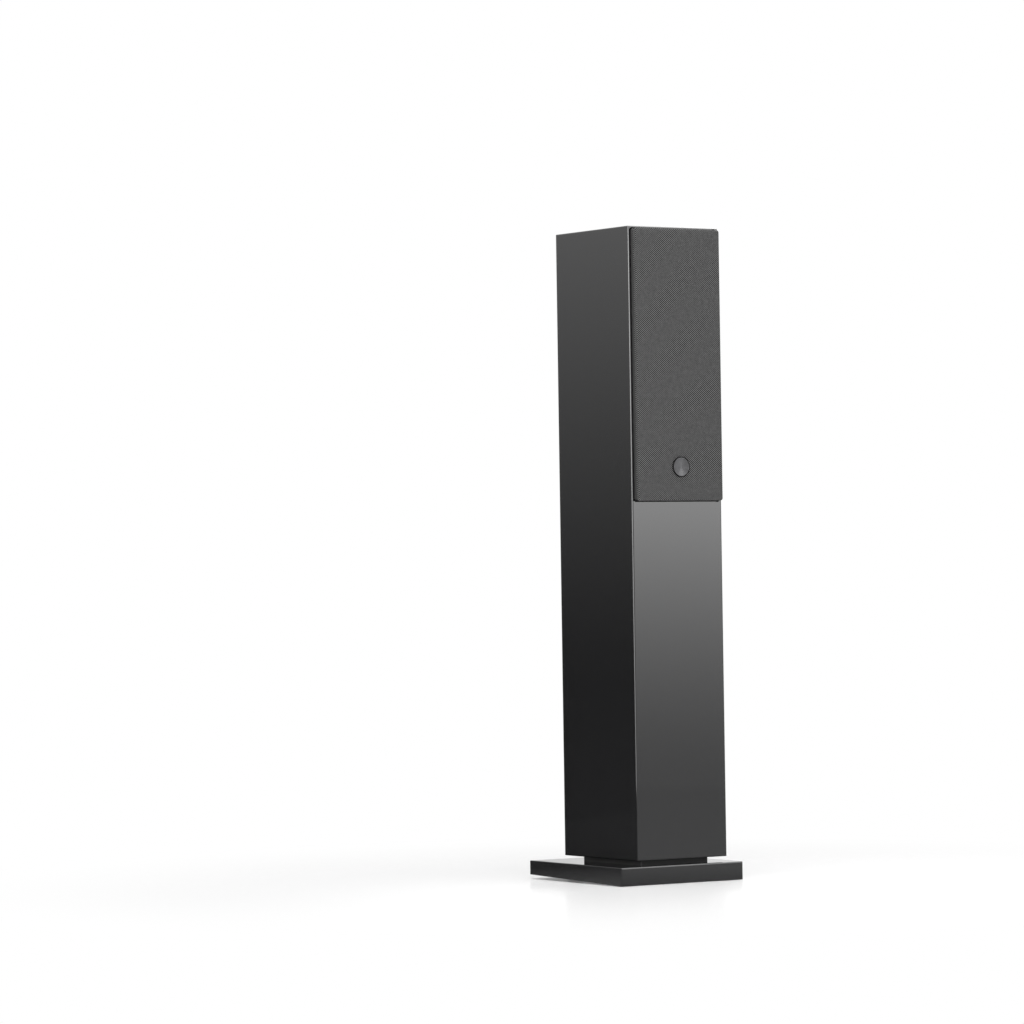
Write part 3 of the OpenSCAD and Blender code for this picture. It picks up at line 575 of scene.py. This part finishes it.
def pick(obj, kind, wanted):
    """In edit mode, selects the faces or edges for which wanted is true, and no others."""
    bpy.ops.mesh.select_mode(type=kind)
    bpy.ops.mesh.select_all(action="DESELECT")
    bpy.ops.object.mode_set(mode="OBJECT")
    points = obj.data.vertices
    if kind == "FACE":
        for face in obj.data.polygons:
            face.select = wanted(face.center, face.normal)
    else:
        for edge in obj.data.edges:
            edge.select = wanted(*(points[i].co for i in edge.vertices))
    bpy.ops.object.mode_set(mode="EDIT")


def apply_modifier(obj, kind, **values):
    modifier = obj.modifiers.new(kind.lower(), kind)
    for key, value in values.items():
        setattr(modifier, key, value)
    select_only(obj)
    bpy.ops.object.modifier_apply(modifier=modifier.name)


def settle(obj, body, slot, nodes=(), smooth=35):
    """Puts the place into the mesh, smooths it, and hands the piece to its body and finish."""
    select_only(obj)
    bpy.ops.object.transform_apply(location=True, rotation=True, scale=True)
    bpy.ops.object.shade_smooth_by_angle(angle=math.radians(smooth))
    obj.data.materials.clear()
    obj.data.materials.append(FINISHES[slot])
    if body:
        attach(obj, body)
    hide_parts(*nodes)
    return obj


def lathe(name, outline, centre, wall=0, closed=False, steps=96):
    """Turns an outline of (radius, out) points about an axis along Y. Out is towards the front,
    from the centre. An open outline can be given a wall, which grows inwards and behind."""
    points = [Vector((centre[0] + r, centre[1] - out, centre[2])) for r, out in outline]
    deselect()
    bpy.ops.mesh.primitive_plane_add(size=0.001, location=points[0])
    piece = bpy.context.object
    piece.name = name
    bpy.ops.object.transform_apply(location=True, rotation=False, scale=False)
    bpy.ops.object.mode_set(mode="EDIT")
    bpy.ops.mesh.select_mode(type="VERT")
    bpy.ops.mesh.select_all(action="SELECT")
    bpy.ops.mesh.merge(type="CENTER")
    for here, there in zip(points, points[1:]):
        bpy.ops.mesh.extrude_vertices_move(TRANSFORM_OT_translate={"value": there - here})
    bpy.ops.mesh.select_all(action="SELECT")
    if closed:
        bpy.ops.mesh.edge_face_add()
        bpy.ops.mesh.delete(type="ONLY_FACE")
        bpy.ops.mesh.select_all(action="SELECT")
    bpy.ops.mesh.spin(steps=steps, angle=2 * math.pi, center=centre, axis=(0, 1, 0))
    bpy.ops.mesh.select_all(action="SELECT")
    bpy.ops.mesh.remove_doubles(threshold=0.00001)
    bpy.ops.mesh.normals_make_consistent(inside=False)
    bpy.ops.object.mode_set(mode="OBJECT")
    if wall:
        apply_modifier(piece, "SOLIDIFY", thickness=wall, offset=0, use_even_offset=True)
    return piece


def arc(centre_r, centre_out, radius, start, end, steps):
    """Points of an arc in an outline; the angles are in degrees, from outwards along the radius."""
    turns = [math.radians(start + (end - start) * i / steps) for i in range(steps + 1)]
    return [(centre_r + radius * math.cos(t), centre_out + radius * math.sin(t)) for t in turns]


# ---- Grille and badge ----

CLOTH_T = 0.7 * MM
CLOTH_WRAP = 4 * MM
CORNER_R = 3.1 * MM
RIM_R = 2.0 * MM
LIP_R = 0.6 * MM
DISH_HOLLOW = 1.0 * MM
DISH_RIM = 0.5 * MM
DISH_SUNK = 0.2 * MM


def make_cloth():
    """The cloth, stretched over the frame's front and tucked into its sides just behind it."""
    low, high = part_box("grille_cloth")
    size = high - low
    back = low.y + CLOTH_WRAP
    deselect()
    bpy.ops.mesh.primitive_grid_add(
        x_subdivisions=18, y_subdivisions=46, size=1,
        location=((low.x + high.x) / 2, back, (low.z + high.z) / 2), rotation=(math.pi / 2, 0, 0),
    )
    cloth = bpy.context.object
    cloth.name = "cloth"
    cloth.scale = (size.x - CLOTH_T, size.z - CLOTH_T, 1)
    bpy.ops.object.transform_apply(location=True, rotation=True, scale=True)
    bpy.ops.object.mode_set(mode="EDIT")
    bpy.ops.mesh.select_all(action="SELECT")
    front = low.y + CLOTH_T / 2
    bpy.ops.mesh.extrude_region_move(TRANSFORM_OT_translate={"value": (0, front - back, 0)})
    edge = 0.1 * MM
    pick(cloth, "FACE", lambda at, way: at.y > back - edge and abs(way.y) > 0.9)
    bpy.ops.mesh.delete(type="FACE")
    left, right = low.x + CLOTH_T / 2, high.x - CLOTH_T / 2
    foot, head = low.z + CLOTH_T / 2, high.z - CLOTH_T / 2

    def at_side(p):
        return min(abs(p.x - left), abs(p.x - right)) < edge

    def at_end(p):
        return min(abs(p.z - foot), abs(p.z - head)) < edge

    pick(cloth, "EDGE", lambda a, b: abs(a.y - b.y) > edge and at_side(a) and at_end(a))
    bpy.ops.mesh.bevel(offset=CORNER_R, segments=5, affect="EDGES")

    def on_rim(p):
        inset = CORNER_R + edge
        near_side = min(p.x - left, right - p.x) < edge
        near_end = min(p.z - foot, head - p.z) < edge
        corner = min(p.x - left, right - p.x) < inset and min(p.z - foot, head - p.z) < inset
        return p.y < front + edge and (near_side or near_end or corner)

    pick(cloth, "EDGE", lambda a, b: on_rim(a) and on_rim(b) and (a - b).length > edge)
    bpy.ops.mesh.bevel(offset=RIM_R, segments=4, affect="EDGES")
    bpy.ops.mesh.select_all(action="SELECT")
    bpy.ops.mesh.normals_make_consistent(inside=False)
    bpy.ops.object.mode_set(mode="OBJECT")
    apply_modifier(cloth, "SOLIDIFY", thickness=CLOTH_T, offset=0)
    settle(cloth, "grille", "grille_cloth", ["grille_cloth"])


def make_badge():
    """A shallow turned dish in a dark ring with a rounded lip."""
    low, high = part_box("badge_ring")
    centre = Vector(((low.x + high.x) / 2, high.y, (low.z + high.z) / 2))
    out_r, thick = (high.x - low.x) / 2, high.y - low.y
    dish_low, dish_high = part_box("badge_dish")
    dish_r = (dish_high.x - dish_low.x) / 2
    ring = lathe(
        "badge_bezel",
        [(dish_r, 0), (out_r, 0)]
        + arc(out_r - LIP_R, thick - LIP_R, LIP_R, 0, 90, 5)
        + arc(dish_r + LIP_R / 2, thick - LIP_R / 2, LIP_R / 2, 90, 180, 3),
        centre, closed=True,
    )
    settle(ring, "grille", "badge_ring", ["badge_ring"])
    steps = 16
    rim_r, face = dish_r - DISH_RIM, thick - DISH_SUNK
    bowl = []
    for i in range(steps, 0, -1):
        bowl.append((rim_r * i / steps, face - DISH_HOLLOW * (1 - (i / steps) ** 2)))
    dish = lathe(
        "badge_disc",
        [(0, 0), (dish_r, 0), (dish_r, face)] + bowl + [(0, face - DISH_HOLLOW)],
        centre,
    )
    settle(dish, "grille", "badge_metal", ["badge_dish"])


# ---- Drivers ----

# The woofer's outline: radii, and distances out from the floor of the grille's pocket
CONE_R = 34.5 * MM
LIP_OUT = -1 * MM
ROLL_R = 3.8 * MM
ROLL_MID_R = 37.9 * MM
LAND_R = 44.5 * MM
RUBBER_T = 0.8 * MM
FORMER_R = 13 * MM
CONE_NECK_OUT = -20 * MM
CAP_R = 15 * MM
CAP_RISE = 5 * MM
CAP_OUT = -18 * MM
SPIDER_OUT = -28.6 * MM
SPIDER_R = 31 * MM
SPIDER_WAVES = 4.5
SPIDER_WAVE = 0.8 * MM
CONE_SAG = 1.1 * MM
TWEETER_ROLL_R = 1.3 * MM


def make_woofer(woofer):
    """Cone, rubber roll, dust cap and spider of one woofer."""
    at = middle(woofer + "_cone")
    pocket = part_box("catch_discs")[0].y
    centre = Vector((at.x, pocket, at.z))
    steps = 14
    lip_r = CONE_R - 3.5 * MM
    half = 0.5 * MM
    flare = []
    for i in range(steps + 1):
        t = i / steps
        sag = CONE_SAG * math.sin(math.pi * t)
        out = CONE_NECK_OUT + (LIP_OUT - CONE_NECK_OUT) * t - half - sag
        flare.append((FORMER_R + half + (lip_r - FORMER_R - half) * t, out))
    paper = lathe(woofer + "_paper", flare + [(CONE_R, LIP_OUT - half)], centre, wall=2 * half)
    settle(paper, woofer, "cone_paper", [woofer + "_cone"])

    rubber = RUBBER_T / 2
    roll = arc(ROLL_MID_R, 0, ROLL_R, 180, 0, 16)
    lip = [(CONE_R - 2.6 * MM, LIP_OUT + rubber), (ROLL_MID_R - ROLL_R, LIP_OUT + rubber)]
    land = [(ROLL_MID_R + ROLL_R + rubber, rubber), (LAND_R, rubber)]
    edge = lathe(woofer + "_roll", lip + roll + land, centre, wall=RUBBER_T * 0.9)
    settle(edge, None, "surround_rubber", [woofer + "_surround"])
    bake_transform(edge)

    ball = (CAP_R ** 2 + CAP_RISE ** 2) / (2 * CAP_RISE)
    reach = math.degrees(math.asin(CAP_R / ball))
    dome = arc(0, CAP_OUT + CAP_RISE - ball, ball - 0.3 * MM, 90 - reach, 90, 14)
    cap = lathe(woofer + "_dust_cap", dome[:-1] + [(0, dome[-1][1])], centre, wall=0.6 * MM)
    settle(cap, woofer, "cap_plastic", [woofer + "_cap"])

    count = int(SPIDER_WAVES * 8)
    inner, outer = FORMER_R + 0.1 * MM, SPIDER_R - 2.5 * MM
    cloth = []
    for i in range(count + 1):
        t = i / count
        height = SPIDER_WAVE * math.sin(2 * math.pi * SPIDER_WAVES * t)
        cloth.append((inner + (outer - inner) * t, SPIDER_OUT + height))
    disc = lathe(
        woofer + "_centring_disc", cloth + [(SPIDER_R, SPIDER_OUT)], centre, wall=0.7 * MM, steps=72
    )
    settle(disc, "cabinet", "spider_cloth", [woofer + "_spider"])


def make_tweeter():
    """The tweeter's dome and the small roll that carries it."""
    low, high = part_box("tweeter_dome")
    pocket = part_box("catch_discs")[0].y
    centre = Vector((middle("tweeter_dome").x, pocket, middle("tweeter_dome").z))
    dome_r, rise, base = (high.x - low.x) / 2, high.y - low.y, pocket - high.y
    ball = (dome_r ** 2 + rise ** 2) / (2 * rise)
    reach = math.degrees(math.asin(dome_r / ball))
    skin = arc(0, base + rise - ball, ball - 0.15 * MM, 90 - reach, 90, 14)
    dome = lathe("tweeter_skin", skin[:-1] + [(0, skin[-1][1])], centre, wall=0.3 * MM)
    settle(dome, "tweeter", "dome_metal", ["tweeter_dome"])
    low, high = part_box("tweeter_surround")
    out_r, floor = (high.x - low.x) / 2, pocket - high.y + 0.5 * MM
    mid_r = dome_r + 0.6 * MM + TWEETER_ROLL_R
    roll = arc(mid_r, floor, TWEETER_ROLL_R, 180, 0, 10)
    ring = lathe(
        "tweeter_roll", [(dome_r + 0.3 * MM, floor)] + roll + [(out_r, floor)], centre, wall=0.3 * MM
    )
    settle(ring, "cabinet", "surround_rubber", ["tweeter_surround"])


# ---- Inside ----

def make_wadding():
    """A soft block of fibre: rounded, and uneven all over."""
    low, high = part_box("wadding")
    size = high - low
    deselect()
    bpy.ops.mesh.primitive_cube_add(size=1, location=(low + high) / 2)
    pad = bpy.context.object
    pad.name = "wadding_block"
    pad.scale = size * 0.97
    bpy.ops.object.transform_apply(location=True, rotation=True, scale=True)
    apply_modifier(pad, "BEVEL", width=8 * MM, segments=4)
    apply_modifier(pad, "REMESH", mode="VOXEL", voxel_size=4 * MM)
    lumps = bpy.data.textures.new("lumps", "CLOUDS")
    lumps.noise_scale = 0.03
    lumps.noise_depth = 2
    apply_modifier(
        pad, "DISPLACE", texture=lumps, texture_coords="LOCAL", strength=5 * MM, mid_level=0.62
    )
    settle(pad, "cabinet", "wadding_fibre", ["wadding"], smooth=80)


def make_windings():
    """Wire in rows round each inductor's core."""
    node = NODES["crossover_inductors"]
    low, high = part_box("crossover_inductors")
    out_r, core_r, length = 15 * MM, 6 * MM, high.y - low.y
    rows = 9
    wire = length / rows / 2
    for name, z in (("winding_low", low.z + out_r), ("winding_high", high.z - out_r)):
        centre = Vector(((low.x + high.x) / 2, high.y, z))
        wraps = []
        for i in range(rows):
            wraps += arc(out_r - wire, wire * (2 * i + 1), wire, -75, 75, 6)
        piece = lathe(name, [(core_r, 0)] + wraps + [(core_r, length)], centre, closed=True, steps=64)
        settle(piece, "cabinet", "coil_copper", [node.name])


def dress_nodes():
    """Gives each CAD node the finish of its slot."""
    for part in frame["record"]["subparts"]:
        mesh = NODES[part["node"]].data
        mesh.materials.clear()
        mesh.materials.append(FINISHES[part["material_slot"]])


bpy.context.scene.view_settings.view_transform = "Standard"
make_camera()
make_studio()
FINISHES = make_finishes()
dress_nodes()
make_cloth()
make_badge()
for driver in ("woofer_upper", "woofer_lower"):
    make_woofer(driver)
make_tweeter()
make_wadding()
make_windings()
